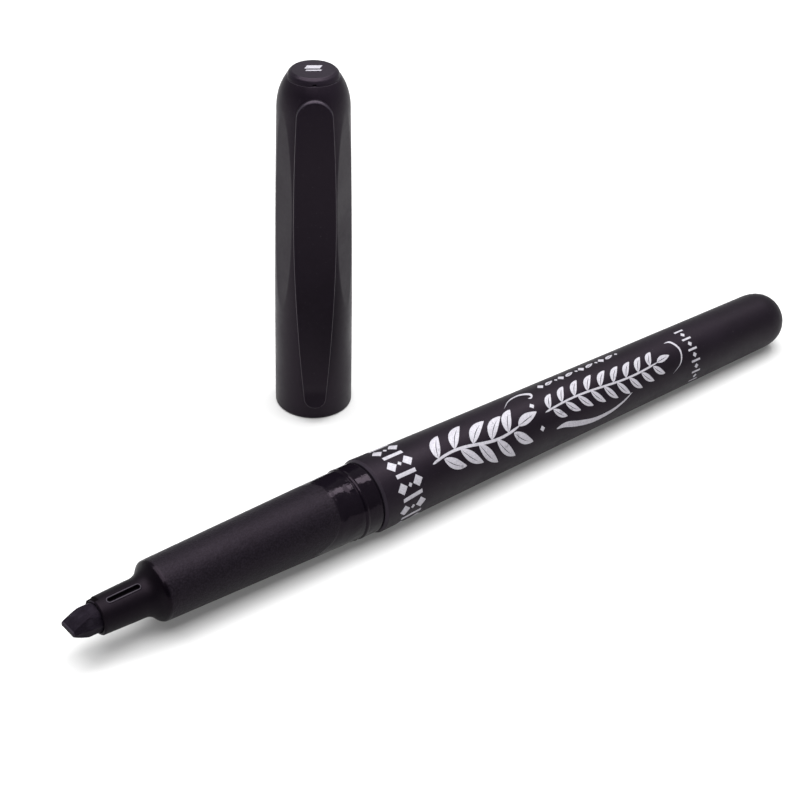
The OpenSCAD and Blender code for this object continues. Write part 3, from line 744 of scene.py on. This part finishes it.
def branch(u0, u1, mid, bow, pairs, leaf_l, leaf_w, stem_w, spread=40):
    """Gently bowed stem with pairs of leaves and one leaf at its end."""
    t = np.linspace(0, 1, 13)
    stem = np.stack([u0 + (u1 - u0) * t, mid + bow * np.sin(2 * math.pi * t)], 1)
    ink.stroke(stem, w=stem_w * 1.25, h=stem_w * 0.75, ang=32, taper=(0.03, 0.08), per=7)
    for k in range(pairs):
        tc = (k + 0.35) / (pairs + 0.15)
        cu, cv = u0 + (u1 - u0) * tc, mid + bow * math.sin(2 * math.pi * tc)
        lean = math.degrees(math.atan2(bow * 2 * math.pi * math.cos(2 * math.pi * tc), u1 - u0))
        sc = 1.0 - 0.22 * abs(2 * tc - 0.9) ** 2
        petal((cu + 0.10, cv + 0.42 * stem_w), leaf_l * sc, leaf_w, lean + spread, curl=0.10 * leaf_l)
        petal((cu + 0.62 * leaf_w, cv - 0.42 * stem_w), leaf_l * sc, leaf_w, lean - spread, curl=-0.10 * leaf_l)
    petal((u1 - 0.35, mid), leaf_l * 0.9, leaf_w * 0.95, math.degrees(math.atan2(bow * 2 * math.pi, u1 - u0)))

# broad leafy branch, finer branch, upper row of diamonds and leaves, flourish, end ticks
branch(9.2, 26.2, -0.05, 0.55, 5, 4.75, 1.62, 0.46, spread=42)
branch(31.4, 55.8, 0.15, 0.35, 9, 3.3, 1.10, 0.34, spread=43)
for k in range(4):
    c_ = 34.2 + 4.3 * k
    dot((c_, 4.75), 0.86)
    petal((c_ + 0.85, 4.45), 1.9, 0.75, 16)
    dot((c_ + 3.25, 4.75), 0.42)
dot((29.9, 1.9), 0.66)
dot((29.9, -1.9), 0.66)
ink.stroke([(25.6, 3.4), (27.6, 4.6), (29.8, 4.9), (31.3, 4.1), (31.1, 3.3), (30.4, 3.4)], w=0.60, h=0.16, ang=30, taper=(0.25, 0.2))
ink.stroke([(32.6, -2.9), (34.5, -2.9), (37.3, -3.7), (40.6, -4.35), (44.0, -4.25), (46.8, -3.5), (48.9, -2.55)],
           w=0.95, h=0.30, ang=72, taper=(0.22, 0.6))
ink.stroke([(58.1, -2.6), (60.1, -1.4), (60.9, 0.5), (60.2, 2.3), (59.0, 2.6)], w=0.40, h=0.15, ang=30, taper=(0.3, 0.2))
for k in range(11):
    v0 = 3.6 - 0.95 * k
    if k % 2 == 0:
        ink.quad((63.4, v0), 1.9, 0.34)
    else:
        ink.quad((63.4, v0), 0.62, 0.62, ang=45)
ink.done("barrel_print")

# mark on the end plug: a broad and a fine pen stroke
def plug_mark():
    V, F = [], []
    def poly(cx_, cy_, w, h, ang, slant=0.0, n=5):
        a = math.radians(ang)
        q = np.linspace(-0.5, 0.5, n + 1)
        X, Y = np.meshgrid(q * w, q * h, indexing="ij")
        X = X + Y * slant
        x = cx_ + X * math.cos(a) - Y * math.sin(a)
        y = cy_ + X * math.sin(a) + Y * math.cos(a)
        base = len(V)
        V.extend(cap(x, y, np.full_like(x, 56.382)).reshape(-1, 3).tolist())
        idx = np.arange((n + 1) ** 2).reshape(n + 1, n + 1) + base
        F.extend(np.stack([idx[:-1, :-1], idx[1:, :-1], idx[1:, 1:], idx[:-1, 1:]], -1).reshape(-1, 4).tolist())
    poly(0.0, 0.60, 2.2, 1.10, 0, slant=0.40)
    poly(0.0, -0.55, 2.2, 0.40, 0, slant=0.40)
    make("plug_mark", V, F, M_print, "cap", merge=0)
plug_mark()

# ---------------------------------------------------- floor, light, camera
def stage_floor():
    me = bpy.data.meshes.new("floor")
    s = 2.6
    me.from_pydata([(-s, -s, 0), (s, -s, 0), (s, s, 0), (-s, s, 0)], [], [(0, 1, 2, 3)])
    ob = bpy.data.objects.new("floor", me)
    bpy.context.scene.collection.objects.link(ob)
    t = T("floor_white")
    n = t.noise(6, 2)
    t.set(Base_Color=t.mixc(n, (0.49, 0.49, 0.49, 1), (0.51, 0.51, 0.51, 1)), Roughness=0.9, Specular_IOR_Level=0.1,
          Emission_Color=(1, 1, 1, 1), Emission_Strength=0.11)
    me.materials.append(t.m)
stage_floor()

PSI = math.radians(39.93)
def s2r(v):
    """Direction in the view's own frame (x right, y away, z up) to the row frame."""
    x, y, z = v
    return Vector((math.cos(PSI) * x + math.sin(PSI) * y, -math.sin(PSI) * x + math.cos(PSI) * y, z))

world = bpy.data.worlds.new("studio")
bpy.context.scene.world = world
world.use_nodes = True
wn = world.node_tree
bg = wn.nodes["Background"]
front = s2r((0, -1, 0))
tc = wn.nodes.new("ShaderNodeTexCoord")
dot = wn.nodes.new("ShaderNodeVectorMath")
dot.operation = "DOT_PRODUCT"
dot.inputs[1].default_value = front
wn.links.new(tc.outputs["Generated"], dot.inputs[0])
mr = wn.nodes.new("ShaderNodeMapRange")
mr.interpolation_type = "SMOOTHSTEP"
mr.inputs["From Min"].default_value, mr.inputs["From Max"].default_value = 0.15, 1.0
mr.inputs["To Min"].default_value, mr.inputs["To Max"].default_value = WORLD_B, WORLD_F
wn.links.new(dot.outputs["Value"], mr.inputs["Value"])
wn.links.new(mr.outputs["Result"], bg.inputs["Strength"])
bg.inputs[0].default_value = (1, 1, 1, 1)

def area(name, d, dist, size, power, target=(0, 0, 0.02), size_y=None, col=(1, 1, 1)):
    l = bpy.data.lights.new(name, "AREA")
    l.shape = "RECTANGLE"
    l.size, l.size_y = size, size_y or size
    l.energy = power
    l.color = col
    o = bpy.data.objects.new(name, l)
    bpy.context.scene.collection.objects.link(o)
    p = Vector(target) + s2r(d).normalized() * dist
    o.location = p
    o.rotation_euler = (p - Vector(target)).to_track_quat("Z", "Y").to_euler()
    return o

area("softbox", (-0.05, -0.04, 0.99), 0.75, 0.95, 16.2, size_y=0.80)
area("small_lamp", (0.37, 0.38, 0.85), 0.80, 0.24, 1.9, size_y=0.20)

F_PX, PITCH, ROLL = 1800.0, math.radians(34.27), math.radians(-1.87)
camd = bpy.data.cameras.new("cam")
cam = bpy.data.objects.new("cam", camd)
bpy.context.scene.collection.objects.link(cam)
bpy.context.scene.camera = cam
camd.sensor_width = 36.0
camd.sensor_fit = "HORIZONTAL"
camd.lens = 36.0 * F_PX / 800.0
camd.shift_y = 2.43 / 800.0
camd.clip_start, camd.clip_end = 0.01, 20.0
cam.location = Vector((-147.13, -175.65, 161.42)) * MM
fw = s2r((0, math.cos(PITCH), -math.sin(PITCH)))
dn0 = s2r((0, -math.sin(PITCH), -math.cos(PITCH)))
rt0 = s2r((1, 0, 0))
rt = math.cos(ROLL) * rt0 + math.sin(ROLL) * dn0
dn = -math.sin(ROLL) * rt0 + math.cos(ROLL) * dn0
cam.rotation_euler = Matrix((rt, -dn, -fw)).transposed().to_euler()

bpy.context.scene.view_settings.view_transform = "Standard"
